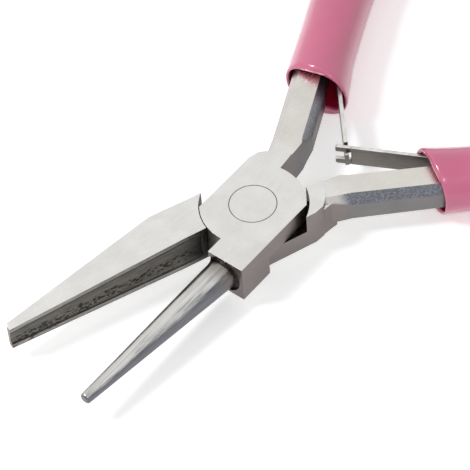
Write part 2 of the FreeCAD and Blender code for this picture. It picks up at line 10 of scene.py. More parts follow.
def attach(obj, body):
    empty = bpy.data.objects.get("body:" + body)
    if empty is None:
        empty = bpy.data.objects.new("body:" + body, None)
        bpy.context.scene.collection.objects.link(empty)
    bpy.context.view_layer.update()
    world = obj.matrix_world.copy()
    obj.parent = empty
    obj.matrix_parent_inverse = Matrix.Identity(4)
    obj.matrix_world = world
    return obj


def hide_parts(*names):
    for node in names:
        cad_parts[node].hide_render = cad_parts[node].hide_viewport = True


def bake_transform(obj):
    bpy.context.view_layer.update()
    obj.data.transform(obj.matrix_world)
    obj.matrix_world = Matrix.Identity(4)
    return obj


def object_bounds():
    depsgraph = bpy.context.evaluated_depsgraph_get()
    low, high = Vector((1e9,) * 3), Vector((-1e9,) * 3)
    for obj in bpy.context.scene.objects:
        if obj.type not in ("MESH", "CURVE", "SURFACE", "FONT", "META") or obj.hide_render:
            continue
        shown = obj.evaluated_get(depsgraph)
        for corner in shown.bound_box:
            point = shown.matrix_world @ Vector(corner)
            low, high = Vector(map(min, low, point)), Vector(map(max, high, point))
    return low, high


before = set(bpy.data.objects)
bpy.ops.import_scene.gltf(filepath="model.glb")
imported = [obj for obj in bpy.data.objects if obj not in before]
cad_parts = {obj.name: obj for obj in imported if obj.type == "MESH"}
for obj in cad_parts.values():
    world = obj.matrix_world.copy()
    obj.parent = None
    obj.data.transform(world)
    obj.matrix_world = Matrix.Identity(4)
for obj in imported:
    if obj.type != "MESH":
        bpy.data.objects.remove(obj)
cad_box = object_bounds()

bl_info = {
    "name": "Looping Pliers",
    "version": (1, 0, 0),
    "blender": (4, 5, 0),
    "location": "View3D > Sidebar > Pliers",
    "description": "Dresses the packed pliers with steel, vinyl and spring finishes",
    "category": "Object",
}

MM = 0.001      # sizes and places are in millimetres where nothing else is said
FLAT = -1      # the half with the flat jaw
ROUND = 1      # the half with the round jaw
SIDES = {FLAT: "flat_side", ROUND: "round_side"}


class PliersSizes(bpy.types.PropertyGroup):
    """Sizes that the dressed pieces follow, in millimetres and degrees, as the steel is built."""
    half_opening: FloatProperty(
        name="Half opening", description="Turn of each half from closed, degrees", default=10.4)
    joint_thick: FloatProperty(
        name="Joint height", description="Height of the steel at the joint, mm", default=6.8)
    centre_off: FloatProperty(
        name="Centre offset", description="Joint's centre line from the rivet, mm", default=0.25)
    jaw_root: FloatProperty(
        name="Jaw root", description="Where the grip face starts, from the pivot, mm", default=8.3)
    cone_axis: FloatProperty(
        name="Round jaw's axis", description="Axis at its root, from the pivot, mm", default=2.8)
    block_front: FloatProperty(
        name="Block front", description="Where the round jaw starts, from the pivot, mm", default=11.1)
    rivet_head: FloatProperty(name="Rivet head", description="Radius of the rivet's head, mm", default=3.6)
    handle_angle: FloatProperty(
        name="Handle angle", description="Closed handle to centre line, degrees", default=24.9)
    handle_axis: FloatProperty(name="Handle axis", description="Shank's axis from the pivot, mm", default=2.5)
    grip_shift: FloatProperty(name="Grip shift", description="Grip's axis inside the shank's, mm", default=0.85)
    bow_start: FloatProperty(name="Bow start", description="Where the handle starts to bow, mm", default=44.0)
    bow_radius: FloatProperty(name="Bow radius", description="Radius of the handle's bow, mm", default=80.0)
    bow_angle: FloatProperty(name="Bow angle", description="Turn of the handle's bow, degrees", default=29.0)
    grip_radius: FloatProperty(name="Grip radius", description="Outer radius of a grip, mm", default=4.95)
    grip_mouth: FloatProperty(
        name="Grip mouth", description="Mouth's centre along the handle, mm", default=27.1)
    mouth_slant: FloatProperty(name="Mouth slant", description="Slant of a grip's mouth, degrees", default=17.0)
    flare_from: FloatProperty(
        name="Flare start", description="Where a grip widens to its mouth, mm", default=33.0)
    flare_radius: FloatProperty(name="Flare radius", description="Radius gained by the flare, mm", default=0.55)
    flare_shift: FloatProperty(
        name="Flare shift", description="Flare's shift to the leaf's side, mm", default=0.37)
    mouth_across: FloatProperty(
        name="Mouth across", description="Half width of the mouth's opening, mm", default=4.35)
    mouth_height: FloatProperty(
        name="Mouth height", description="Half height of the mouth's opening, mm", default=3.45)
    leaf_thick: FloatProperty(name="Leaf thickness", description="Thickness of a leaf spring, mm", default=0.6)
    leaf_width: FloatProperty(name="Leaf width", description="Width of a leaf spring, mm", default=3.7)
    leaf_root: FloatProperty(
        name="Leaf root", description="A leaf's flexing root along the handle, mm", default=34.1)
    leaf_line: FloatProperty(
        name="Leaf line", description="A leaf's root from the pivot, square to the handle, mm", default=5.08)
    leaf_length: FloatProperty(name="Leaf length", description="Root to hook, mm", default=19.9)
    tab_length: FloatProperty(name="Tab length", description="A leaf's fixed end on the tang, mm", default=6.85)
    fork_slot: FloatProperty(name="Fork slot", description="Height of the fork's slot, mm", default=1.6)
    fork_out: FloatProperty(name="Fork prongs", description="Prongs past the hook, mm", default=1.6)
    fork_in: FloatProperty(name="Fork depth", description="Slot behind the hook, mm", default=0.85)
    neck_width: FloatProperty(name="Tongue neck", description="Height of the tongue's neck, mm", default=1.3)
    neck_reach: FloatProperty(
        name="Neck reach", description="Half length of the tongue's neck, mm", default=0.8)
    head_width: FloatProperty(name="Tongue head", description="Height of the tongue's head, mm", default=2.3)
    head_length: FloatProperty(name="Head length", description="Length of the tongue's head, mm", default=0.4)


class PliersColours(bpy.types.PropertyGroup):
    """Colours of the finishes, as sRGB hex."""
    # the next two colours are lit and shaded tones of one steel: level faces painted light, sides painted shade
    polished: StringProperty(name="Polished steel", description="Ground and polished faces", default="#DEDDDA")
    shaded_side: StringProperty(name="Ground sides", description="Side faces, less polished", default="#857D7B")
    # painted shade: the nearly black tone of the steel between the lap plates and on their shoulders
    recess_shade: StringProperty(name="Recess", description="Oily steel between the lap plates", default="#2A2623")
    # painted: the grip face's dark tone is a painted dark reflection, and its rims carry a painted highlight
    face_dark_reflection: StringProperty(name="Grip face", description="Dark, worn grip face", default="#686560")
    rim_highlight: StringProperty(
        name="Grip face rim", description="Rubbed rims of the grip face", default="#8C8A86")
    # painted light on the round jaw's upward faces and painted shade on the rest
    cone_lit_top: StringProperty(name="Round jaw", description="Turned and drawn round jaw", default="#CBCAC7")
    cone_side_shade: StringProperty(
        name="Round jaw, sides", description="Less polished sides of the round jaw", default="#6C6D72")
    # darker and browner towards the round jaw's root
    cone_root_dark: StringProperty(name="Round jaw, root", description="Heat tint at the root", default="#6E645E")
    # the shank's level faces painted light and its sides painted shade
    forged: StringProperty(name="Forged shank", description="Satin forged shank", default="#D9D5CF")
    forged_side_shade: StringProperty(name="Forged shank, sides", description="Sides of the shank", default="#7B7979")
    # painted reflection: dark bluish on the shank's bevels facing +Y, with lighter grain in it
    painted_reflection_blue: StringProperty(
        name="Tempered band", description="Bluish band along the shank's edge", default="#5E6069")
    band_light: StringProperty(name="Rubbed band", description="Rubbed grain in the band", default="#96979C")
    vinyl: StringProperty(name="Vinyl", description="Pink vinyl of the grips", default="#CC5F84")
    vinyl_inside_shade: StringProperty(name="Vinyl inside", description="Unlit inside of a grip", default="#B01A38")
    spring: StringProperty(name="Spring strip", description="Rolled faces of the strip", default="#7A7672")
    spring_edge: StringProperty(
        name="Strip edge", description="Sheared, rubbed edges of the strip", default="#DAD8D4")


SMOOTH = {"interpolation_type": "SMOOTHSTEP"}
NOISE = {"From Min": 0.3, "From Max": 0.7}    # most of a noise pattern's values lie between these
TWO_COLOURS = {"data_type": "RGBA"}
FIRST, SECOND, MIXED = 6, 7, 2                # sockets of a Mix node that mixes two colours
POLISHED, WORKING, RECESS_SHADE = 0, 1, 2            # material slots of a steel half
# soft lamps over the jaws' side and over the handles: name, place and width in metres, power in watts
LAMPS = (("key_softbox", (0.33, -0.24, 0.55), 0.16, 2.3), ("front_softbox", (0.24, 0.33, 0.5), 0.1, 0.4))


def linear(hex_colour):
    """An sRGB hex colour as linear RGBA, by the sRGB standard's curve."""
    channels = [int(hex_colour[i:i + 2], 16) / 255 for i in (1, 3, 5)]
    return [c / 12.92 if c <= 0.04045 else ((c + 0.055) / 1.055) ** 2.4 for c in channels] + [1.0]


def sizes():
    return bpy.context.scene.pliers_sizes


def colours():
    return bpy.context.scene.pliers_colours


def add_node(tree, kind, settings=None, links=None):
    """Adds a shader node; settings set its attributes or sockets, links join its sockets to other outputs."""
    made = tree.nodes.new("ShaderNode" + kind)
    for key, value in (settings or {}).items():
        if isinstance(key, str) and hasattr(made, key):
            setattr(made, key, value)
        else:
            made.inputs[key].default_value = value
    for key, source in (links or {}).items():
        tree.links.new(source, made.inputs[key])
    return made


def new_material(name):
    material = bpy.data.materials.new(name)
    material.use_nodes = True
    tree = material.node_tree
    tree.nodes.clear()
    shader = add_node(tree, "BsdfPrincipled")
    add_node(tree, "OutputMaterial", None, {"Surface": shader.outputs["BSDF"]})
    return material, tree, shader


def cover(tree, shader, colour, rough, bump=None):
    """Links a material's colour, roughness and bump to its shader."""
    tree.links.new(colour, shader.inputs["Base Color"])
    tree.links.new(rough, shader.inputs["Roughness"])
    if bump:
        tree.links.new(bump.outputs["Normal"], shader.inputs["Normal"])


def pattern(tree, place, size, detail, roughness, distortion=0.0):
    """A noise pattern whose grain has a real size along X, Y and Z, in millimetres."""
    scaled = add_node(tree, "VectorMath", {"operation": "MULTIPLY", 1: [1 / (mm * MM) for mm in size]},
                      {0: place})
    grain = {"Scale": 1.0, "Detail": detail, "Roughness": roughness, "Distortion": distortion}
    return add_node(tree, "TexNoise", grain, {"Vector": scaled.outputs["Vector"]}).outputs["Fac"]


def turned(side, x, y):
    """A point of a half's closed plan, mirrored to its side and opened, in millimetres."""
    s = sizes()
    y = s.centre_off + side * (y - s.centre_off)
    return Matrix.Rotation(math.radians(side * s.half_opening), 3, "Z") @ Vector((x, y, s.joint_thick / 2))


def along(distance, offset, side):
    """A point at a distance along the handle and an offset to its inner side, in millimetres."""
    a = math.radians(sizes().handle_angle)
    return turned(side, -distance * math.cos(a) - offset * math.sin(a),
                  -distance * math.sin(a) + offset * math.cos(a))


def handle_point(distance, offset, side):
    """As along, but past the start of the bow the point follows the bowed handle."""
    s = sizes()
    if distance <= s.bow_start:
        return along(distance, offset, side)
    angle = (distance - s.bow_start) / s.bow_radius
    reach = s.bow_radius - (offset - s.handle_axis)
    return along(s.bow_start + reach * math.sin(angle),
                 s.handle_axis + s.bow_radius - reach * math.cos(angle), side)


def mesh_object(name, points, faces, material):
    """A smooth-shaded mesh object from points in millimetres."""
    mesh = bpy.data.meshes.new(name)
    mesh.from_pydata([Vector(p) * MM for p in points], [], faces)
    mesh.materials.append(material)
    tidy = bmesh.new()
    tidy.from_mesh(mesh)
    bmesh.ops.recalc_face_normals(tidy, faces=tidy.faces)
    tidy.to_mesh(mesh)
    tidy.free()
    for polygon in mesh.polygons:
        polygon.use_smooth = True
    piece = bpy.data.objects.new(name, mesh)
    bpy.context.scene.collection.objects.link(piece)
    return piece


def closed_vector(tree, place, side):
    """Object coordinates turned back to the closed pliers, so that patterns run along a half."""
    back = {"rotation_type": "Z_AXIS", "Angle": -math.radians(side * sizes().half_opening)}
    return add_node(tree, "VectorRotate", back, {"Vector": place.outputs["Object"]}).outputs["Vector"]


def steel_material(name, side):
    """Carbon steel, ground and polished, level faces painted light and sides painted shade, and behind the
    joint a forged shank, shaded alike, with a painted bluish reflection on the bevels facing +Y, rubbed bright
    in its grain."""
    c = colours()
    belt = (3.03, 0.16667, 0.16667)          # belt lines, drawn coarser than the real grit so that they show
    polish = (4.0, 4.0, 4.0)                 # cloudy patches left by the polish
    forging = (0.4545, 0.2, 0.2)             # grain of the forged shank
    shank_from, shank_full = -11.2, -13.2    # where the shank's finish starts, from the pivot
    rub, rub_fade = (0.4 if side == FLAT else 0.24), 0.34    # grain above rub is bright: less on the flat half
    gap_shade_from, gap_shade_to = 0.03, 0.09          # painted shade of the gap round the rivet's head, drawn wide so that it shows
    material, tree, shader = new_material(name)
    place = add_node(tree, "TexCoord")
    closed = closed_vector(tree, place, side)
    normal = add_node(tree, "SeparateXYZ", None, {"Vector": place.outputs["Normal"]})
    up = add_node(tree, "Math", {"operation": "ABSOLUTE"}, {0: normal.outputs["Z"]}).outputs[0]
    lines = pattern(tree, closed, belt, 3.0, 0.6)
    cloud = pattern(tree, closed, polish, 4.0, 0.55)
    grain = pattern(tree, closed, forging, 5.0, 0.75)
    # the joint and jaws: level faces painted light, sides painted shade
    flat = add_node(tree, "MapRange", {**SMOOTH, "From Min": 0.3, "From Max": 0.9}, {"Value": up}).outputs[0]
    lit_and_shaded_joint = add_node(tree, "Mix", {**TWO_COLOURS, FIRST: linear(c.shaded_side), SECOND: linear(c.polished)},
                      {0: flat}).outputs[MIXED]
    # the forged shank, its sides painted shade, with its band on the bevels, which are neither upright nor
    # level
    where = add_node(tree, "SeparateXYZ", None, {"Vector": closed})
    behind = add_node(tree, "MapRange", {**SMOOTH, "From Min": shank_from * MM, "From Max": shank_full * MM},
                      {"Value": where.outputs["X"]}).outputs[0]
    shank_top_lit = add_node(tree, "MapRange", {**SMOOTH, "From Min": 0.15, "From Max": 0.95}, {"Value": up}).outputs[0]
    forged = add_node(tree, "Mix", {**TWO_COLOURS, FIRST: linear(c.forged_side_shade), SECOND: linear(c.forged)},
                      {0: shank_top_lit}).outputs[MIXED]
    sloped = add_node(tree, "MapRange", {**SMOOTH, "From Min": 0.1, "From Max": 0.4}, {"Value": up}).outputs[0]
    unlevel = add_node(tree, "MapRange", {**SMOOTH, "From Min": 0.95, "From Max": 0.8},
                       {"Value": up}).outputs[0]
    facing = add_node(tree, "MapRange", {**SMOOTH, "From Min": 0.0, "From Max": 0.3},
                      {"Value": normal.outputs["Y"]}).outputs[0]
    bevel = add_node(tree, "Math", {"operation": "MULTIPLY"}, {0: sloped, 1: unlevel}).outputs[0]
    # the band: a painted dark bluish reflection on the bevels facing +Y
    band = add_node(tree, "Math", {"operation": "MULTIPLY"}, {0: bevel, 1: facing}).outputs[0]
    rubbed = add_node(tree, "MapRange", {**SMOOTH, "From Min": rub, "From Max": rub + rub_fade},
                      {"Value": grain}).outputs[0]
    bevel_reflection_mix = add_node(tree, "Mix", {**TWO_COLOURS, FIRST: linear(c.painted_reflection_blue), SECOND: linear(c.band_light)},
                        {0: rubbed}).outputs[MIXED]
    shank = add_node(tree, "Mix", TWO_COLOURS, {0: band, FIRST: forged, SECOND: bevel_reflection_mix}).outputs[MIXED]
    steel = add_node(tree, "Mix", TWO_COLOURS, {0: behind, FIRST: lit_and_shaded_joint, SECOND: shank}).outputs[MIXED]
    # painted shade along the gap round the rivet's head
    reach = add_node(tree, "VectorMath", {"operation": "MULTIPLY", 1: (1 / MM, 1 / MM, 0.0)}, {0: closed})
    radius = add_node(tree, "VectorMath", {"operation": "LENGTH"},
                      {0: reach.outputs["Vector"]}).outputs["Value"]
    from_gap = add_node(tree, "Math", {"operation": "SUBTRACT", 1: sizes().rivet_head}, {0: radius}).outputs[0]
    near_gap = add_node(tree, "Math", {"operation": "ABSOLUTE"}, {0: from_gap}).outputs[0]
    gap_shade = add_node(tree, "MapRange",
                    {**SMOOTH, "From Min": gap_shade_from, "From Max": gap_shade_to, "To Min": 0.3, "To Max": 1.0},
                    {"Value": near_gap}).outputs[0]
    shade = add_node(tree, "MapRange", {**NOISE, "To Min": 0.92, "To Max": 1.04}, {"Value": cloud}).outputs[0]
    grit = add_node(tree, "MapRange", {**NOISE, "To Min": 0.98, "To Max": 1.015}, {"Value": lines}).outputs[0]
    clean = add_node(tree, "Math", {"operation": "MULTIPLY"}, {0: shade, 1: grit}).outputs[0]
    tone = add_node(tree, "Math", {"operation": "MULTIPLY"}, {0: clean, 1: gap_shade}).outputs[0]
    tinted = add_node(tree, "VectorMath", {"operation": "SCALE"}, {0: steel, "Scale": tone}).outputs["Vector"]
    # the sides are rougher than the flat faces
    rough = add_node(tree, "MapRange", {**NOISE, "To Min": 0.24, "To Max": 0.36}, {"Value": lines}).outputs[0]
    more = add_node(tree, "MapRange", {"To Min": 0.14, "To Max": 0.0}, {"Value": flat}).outputs[0]
    summed = add_node(tree, "Math", {"operation": "ADD"}, {0: rough, 1: more}).outputs[0]
    bump = add_node(tree, "Bump", {"Strength": 0.08, "Distance": 0.03 * MM}, {"Height": lines})
    cover(tree, shader, tinted, summed, bump)
    shader.inputs["Metallic"].default_value = 1.0
    return material


def recess_shade_material():
    """Steel between the lap plates and on their shoulders, painted nearly black as the shade that falls there.
    """
    mottle_size = (1.0, 1.0, 1.0)
    material, tree, shader = new_material("carbon_steel_recess_painted_shade")
    place = add_node(tree, "TexCoord")
    mottle = pattern(tree, place.outputs["Object"], mottle_size, 4.0, 0.6)
    tone = add_node(tree, "MapRange", {"From Min": 0.35, "From Max": 0.7, "To Min": 0.5, "To Max": 1.6},
                    {"Value": mottle}).outputs[0]
    base = add_node(tree, "VectorMath", {"operation": "SCALE", 0: linear(colours().recess_shade)[:3]},
                    {"Scale": tone}).outputs["Vector"]
    rough = add_node(tree, "MapRange", {**NOISE, "To Min": 0.3, "To Max": 0.5}, {"Value": mottle}).outputs[0]
    cover(tree, shader, base, rough)
    shader.inputs["Metallic"].default_value = 1.0
    return material


def cone_material():
    """The round jaw: turned, drawn along by hand with fine paper, painted light above and painted shade below,
    darker and browner towards its root.
    """
    c = colours()
    drawn, grit_size = (14.29, 0.5263, 0.5263), (0.2222, 0.2222, 0.2222)    # streaks, and the paper's grit
    darker_from, darker_full = 15.5, 11.2    # where the darkening ends and where it is full, from the pivot
    material, tree, shader = new_material("carbon_steel_round_jaw_drawn")
    place = add_node(tree, "TexCoord")
    closed = closed_vector(tree, place, ROUND)
    normal = add_node(tree, "SeparateXYZ", None, {"Vector": place.outputs["Normal"]})
    streak = pattern(tree, closed, drawn, 4.0, 0.62, 0.25)
    fine = pattern(tree, closed, grit_size, 2.0, 0.6)
    # the streaks fray the edge of the painted light on top
    fray = add_node(tree, "MapRange", {**NOISE, "To Min": -0.16, "To Max": 0.16}, {"Value": streak}).outputs[0]
    up = add_node(tree, "Math", {"operation": "ADD"}, {0: normal.outputs["Z"], 1: fray}).outputs[0]
    top = add_node(tree, "MapRange", {**SMOOTH, "From Min": 0.55, "From Max": 1.0}, {"Value": up}).outputs[0]
    steel = add_node(tree, "Mix", {**TWO_COLOURS, FIRST: linear(c.cone_side_shade), SECOND: linear(c.cone_lit_top)},
                     {0: top}).outputs[MIXED]
    where = add_node(tree, "SeparateXYZ", None, {"Vector": closed})
    root = add_node(tree, "MapRange",
                    {**SMOOTH, "From Min": darker_from * MM, "From Max": darker_full * MM, "To Max": 0.75},
                    {"Value": where.outputs["X"]}).outputs[0]
    tinted = add_node(tree, "Mix", {**TWO_COLOURS, SECOND: linear(c.cone_root_dark)},
                      {0: root, FIRST: steel}).outputs[MIXED]
    tone = add_node(tree, "MapRange", {**NOISE, "To Min": 0.8, "To Max": 1.12}, {"Value": streak}).outputs[0]
    base = add_node(tree, "VectorMath", {"operation": "SCALE"}, {0: tinted, "Scale": tone}).outputs["Vector"]
    rough = add_node(tree, "MapRange", {**NOISE, "To Min": 0.2, "To Max": 0.34}, {"Value": streak}).outputs[0]
    both = add_node(tree, "Math", {"operation": "MULTIPLY_ADD", 1: 0.25}, {0: fine, 2: streak}).outputs[0]
    bump = add_node(tree, "Bump", {"Strength": 0.3, "Distance": 0.08 * MM}, {"Height": both})
    cover(tree, shader, base, rough, bump)
    shader.inputs["Metallic"].default_value = 1.0
    return material


def worn_grip_material():
    """The flat jaw's grip face: hardened steel, dark as a painted dark reflection, pitted and streaked along
    the jaw, with painted highlights along its rims and a painted shade line where the hollow begins."""
    c = colours()
    streak_size, pit_size = (2.857, 0.4, 0.4), (0.7692, 0.3846, 0.3846)    # drawn coarse so that they show
    face_from, face_to = 12.0, 41.5              # the jaw thins between these, from the pivot
    root_half, tip_half = sizes().joint_thick / 2, 2.2       # half heights of the jaw there
    highlight_inner, highlight_outer = 0.9, 0.7              # the painted highlight's fade, in from the jaw's upper and lower edges
    hollow_shade_edges = ((0.65, 0.9), (1.3, 0.95))      # the painted shade line's two fades, measured the same way
    row_edges = ((0.4, -0.6), (-2.4, -1.2))      # upper and lower fades of the row of pits, from mid height
    dark_from, dark_full = 13.5, 8.5             # the dark root, from the pivot
    material, tree, shader = new_material("hardened_steel_dark_pitted")
    place = add_node(tree, "TexCoord")
    closed = closed_vector(tree, place, FLAT)
    where = add_node(tree, "SeparateXYZ", None, {"Vector": closed})
    half = add_node(tree, "MapRange", {"From Min": face_from * MM, "From Max": face_to * MM,
                                       "To Min": root_half * MM, "To Max": tip_half * MM},
                    {"Value": where.outputs["X"]}).outputs[0]
    level = add_node(tree, "Math", {"operation": "SUBTRACT", 1: root_half * MM},
                     {0: where.outputs["Z"]}).outputs[0]
    off = add_node(tree, "Math", {"operation": "ABSOLUTE"}, {0: level}).outputs[0]
    inside = add_node(tree, "Math", {"operation": "SUBTRACT"}, {0: half, 1: off}).outputs[0]
    # painted highlight along the jaw's upper and lower edges
    rim = add_node(tree, "MapRange", {**SMOOTH, "From Min": highlight_inner * MM, "From Max": highlight_outer * MM},
                   {"Value": inside}).outputs[0]
    # painted shade line where the hollow begins
    shade_in, shade_out = [add_node(tree, "MapRange", {**SMOOTH, "From Min": none * MM, "From Max": full * MM},
                                  {"Value": inside}).outputs[0] for none, full in hollow_shade_edges]
    line = add_node(tree, "Math", {"operation": "MULTIPLY"}, {0: shade_in, 1: shade_out}).outputs[0]
    streak = pattern(tree, closed, streak_size, 6.0, 0.7)
    pits = pattern(tree, closed, pit_size, 4.0, 0.65)
    # the pits lie mostly in a row a little below the middle
    row_top, row_foot = [add_node(tree, "MapRange", {**SMOOTH, "From Min": none * MM, "From Max": full * MM},
                                  {"Value": level}).outputs[0] for none, full in row_edges]
    in_row = add_node(tree, "Math", {"operation": "MULTIPLY"}, {0: row_top, 1: row_foot}).outputs[0]
    limit = add_node(tree, "MapRange", {"To Min": 0.36, "To Max": 0.5}, {"Value": in_row}).outputs[0]
    deep = add_node(tree, "Math", {"operation": "SUBTRACT"}, {0: limit, 1: pits}).outputs[0]
    pit = add_node(tree, "MapRange", {**SMOOTH, "From Min": -0.02, "From Max": 0.05},
                   {"Value": deep}).outputs[0]
    root = add_node(tree, "MapRange", {**SMOOTH, "From Min": dark_from * MM, "From Max": dark_full * MM},
                    {"Value": where.outputs["X"]}).outputs[0]
    dark = add_node(tree, "Math", {"operation": "MAXIMUM"}, {0: pit, 1: root}).outputs[0]
    darker = add_node(tree, "Math", {"operation": "MAXIMUM"}, {0: dark, 1: line}).outputs[0]
    steel = add_node(tree, "Mix", {**TWO_COLOURS, FIRST: linear(c.face_dark_reflection), SECOND: linear(c.rim_highlight)},
                     {0: rim}).outputs[MIXED]
    tone = add_node(tree, "MapRange", {**NOISE, "To Min": 0.55, "To Max": 1.4}, {"Value": streak}).outputs[0]
    shade = add_node(tree, "MapRange", {"To Min": 1.0, "To Max": 0.2}, {"Value": darker}).outputs[0]
    scale = add_node(tree, "Math", {"operation": "MULTIPLY"}, {0: tone, 1: shade}).outputs[0]
    base = add_node(tree, "VectorMath", {"operation": "SCALE"}, {0: steel, "Scale": scale}).outputs["Vector"]
    rough = add_node(tree, "MapRange", {**NOISE, "To Min": 0.38, "To Max": 0.6}, {"Value": pits}).outputs[0]
    both = add_node(tree, "Math", {"operation": "ADD"}, {0: streak, 1: pits}).outputs[0]
    bump = add_node(tree, "Bump", {"Strength": 0.5, "Distance": 0.08 * MM}, {"Height": both})
    cover(tree, shader, base, rough, bump)
    shader.inputs["Metallic"].default_value = 1.0
    return material


def vinyl_material():
    """Plasticised PVC, dipped and glossy. Slight waviness breaks up the highlights; the inside is painted a
    darker, deeper red as the shade in its hollow."""
    c = colours()
    dip_wave, orange_peel = (5.882, 5.882, 5.882), (0.7143, 0.7143, 0.7143)
    material, tree, shader = new_material("dipped_pvc_pink_gloss")
    place = add_node(tree, "TexCoord")
    wave = pattern(tree, place.outputs["Object"], dip_wave, 2.0, 0.5)
    peel = pattern(tree, place.outputs["Object"], orange_peel, 2.0, 0.5)
    tone = add_node(tree, "MapRange", {**NOISE, "To Min": 0.95, "To Max": 1.05}, {"Value": wave}).outputs[0]
    # painted shade inside the hollow, from the inside colour layer
    inner = add_node(tree, "VertexColor", {"layer_name": "inside"})
    base = add_node(tree, "Mix", {**TWO_COLOURS, FIRST: linear(c.vinyl), SECOND: linear(c.vinyl_inside_shade)},
                    {0: inner.outputs["Color"]}).outputs[MIXED]
    tinted = add_node(tree, "VectorMath", {"operation": "SCALE"}, {0: base, "Scale": tone}).outputs["Vector"]
    rough = add_node(tree, "MapRange", {**NOISE, "To Min": 0.18, "To Max": 0.26}, {"Value": peel}).outputs[0]
    bump = add_node(tree, "Bump", {"Strength": 0.35, "Distance": 0.3 * MM}, {"Height": wave})
    cover(tree, shader, tinted, rough, bump)
    shader.inputs["IOR"].default_value = 1.53
    shader.inputs["Coat Weight"].default_value = 0.8
    shader.inputs["Coat Roughness"].default_value = 0.1
    return material


def spring_material():
    """Cold-rolled spring strip, bare: grey rolled faces with rolling lines, and bright sheared edges."""
    c = colours()
    rolling = (2.0, 2.0, 0.25)    # rolling lines, drawn coarse so that they show
    material, tree, shader = new_material("spring_steel_cold_rolled")
    place = add_node(tree, "TexCoord")
    normal = add_node(tree, "SeparateXYZ", None, {"Vector": place.outputs["Normal"]})
    up = add_node(tree, "Math", {"operation": "ABSOLUTE"}, {0: normal.outputs["Z"]}).outputs[0]
    edge = add_node(tree, "MapRange", {**SMOOTH, "From Min": 0.2, "From Max": 0.7}, {"Value": up}).outputs[0]
    lines = pattern(tree, place.outputs["Object"], rolling, 4.0, 0.6)
    steel = add_node(tree, "Mix", {**TWO_COLOURS, FIRST: linear(c.spring), SECOND: linear(c.spring_edge)},
                     {0: edge}).outputs[MIXED]
    tone = add_node(tree, "MapRange", {**NOISE, "To Min": 0.78, "To Max": 1.15}, {"Value": lines}).outputs[0]
    base = add_node(tree, "VectorMath", {"operation": "SCALE"}, {0: steel, "Scale": tone}).outputs["Vector"]
    rough = add_node(tree, "MapRange", {**NOISE, "To Min": 0.28, "To Max": 0.42}, {"Value": lines}).outputs[0]
    bump = add_node(tree, "Bump", {"Strength": 0.1, "Distance": 0.02 * MM}, {"Height": lines})
    cover(tree, shader, base, rough, bump)
    shader.inputs["Metallic"].default_value = 1.0
    return material


class PLIERS_OT_steel(bpy.types.Operator):
    """Finish the two steel halves and the rivet"""
    bl_idname = "pliers.steel"
    bl_label = "Steel Halves"

    def execute(self, context):
        recess_shade = recess_shade_material()
        jaw = {FLAT: worn_grip_material(), ROUND: cone_material()}
        for node, side in (("flat_jaw_half", FLAT), ("round_jaw_half", ROUND)):
            finishes = (steel_material("carbon_steel_" + node, side), jaw[side], recess_shade)
            piece = soften(node, finishes)
            close = Matrix.Rotation(-math.radians(side * sizes().half_opening), 3, "Z")
            for polygon in piece.data.polygons:
                polygon.material_index = face_finish(close @ polygon.center / MM, close @ polygon.normal, side)
        soften("pivot_rivet", [steel_material("carbon_steel_pivot_rivet", ROUND)])
        return {"FINISHED"}


def soften(node, finishes):
    """Gives a steel node its materials, and edges worn slightly round."""
    weld_gap, edge_width, corner = 0.001, 0.12, 35
    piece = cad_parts[node]
    piece.data.materials.clear()
    for material in finishes:
        piece.data.materials.append(material)
    # the imported faces are loose along sharp edges, so they are joined before the edges are rounded
    weld = piece.modifiers.new("joined_faces", "WELD")
    weld.merge_threshold = weld_gap * MM
    edge = piece.modifiers.new("soft_edges", "BEVEL")
    edge.width = edge_width * MM
    edge.segments = 2
    edge.limit_method = "ANGLE"
    edge.angle_limit = math.radians(corner)
    even = piece.modifiers.new("flat_faces", "WEIGHTED_NORMAL")
    even.keep_sharp = False
    return piece


def face_finish(centre, normal, side):
    """The material slot of a half's face, from its centre in millimetres and its normal on the closed plan."""
    s = sizes()
    aligned, upright = 0.9, 0.3                       # cosines to a direction, and to the vertical
    lap, shoulder_from, shoulder_to = 0.5, 8.12, 8.5  # the lap faces' height and the shoulders' radii
    collar_radius, collar_back, collar_front = 3.3, 0.5, 0.3    # round the round jaw's root
    faces_in, past_block, past_front = 0.6, -0.05, 0.02
    mid = s.joint_thick / 2
    reach = math.hypot(centre.x, centre.y)
    radial = abs(normal.x * centre.x + normal.y * centre.y) > aligned * reach
    # the lap faces, the shoulders and the collar round the round jaw's root take the painted shade
    if abs(normal.z) > aligned and abs(centre.z - mid) < lap and reach < shoulder_to:
        return RECESS_SHADE
    if abs(normal.z) < upright and shoulder_from < reach < shoulder_to and radial:
        return RECESS_SHADE
    if side == FLAT:
        return WORKING if centre.x > s.jaw_root and normal.y > faces_in else POLISHED
    ahead = centre.x - s.block_front
    from_axis = math.hypot(centre.y - s.cone_axis, centre.z - mid)
    in_collar = -collar_back < ahead < collar_front and from_axis < collar_radius
    if in_collar and not (normal.x > aligned and ahead > past_block):
        return RECESS_SHADE
    return WORKING if ahead > past_front else POLISHED


class PLIERS_OT_grips(bpy.types.Operator):
    """Dip both grips: rounded slanted mouth, hollow with a painted dark inside, domed far end"""
    bl_idname = "pliers.grips"
    bl_label = "Grips"

    def execute(self, context):
        material = vinyl_material()
        for side, name in ((FLAT, "grip_flat_side"), (ROUND, "grip_round_side")):
            piece = dipped_grip(name + "_vinyl", side, material)
            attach(piece, SIDES[side])
            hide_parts(name)
        return {"FINISHED"}


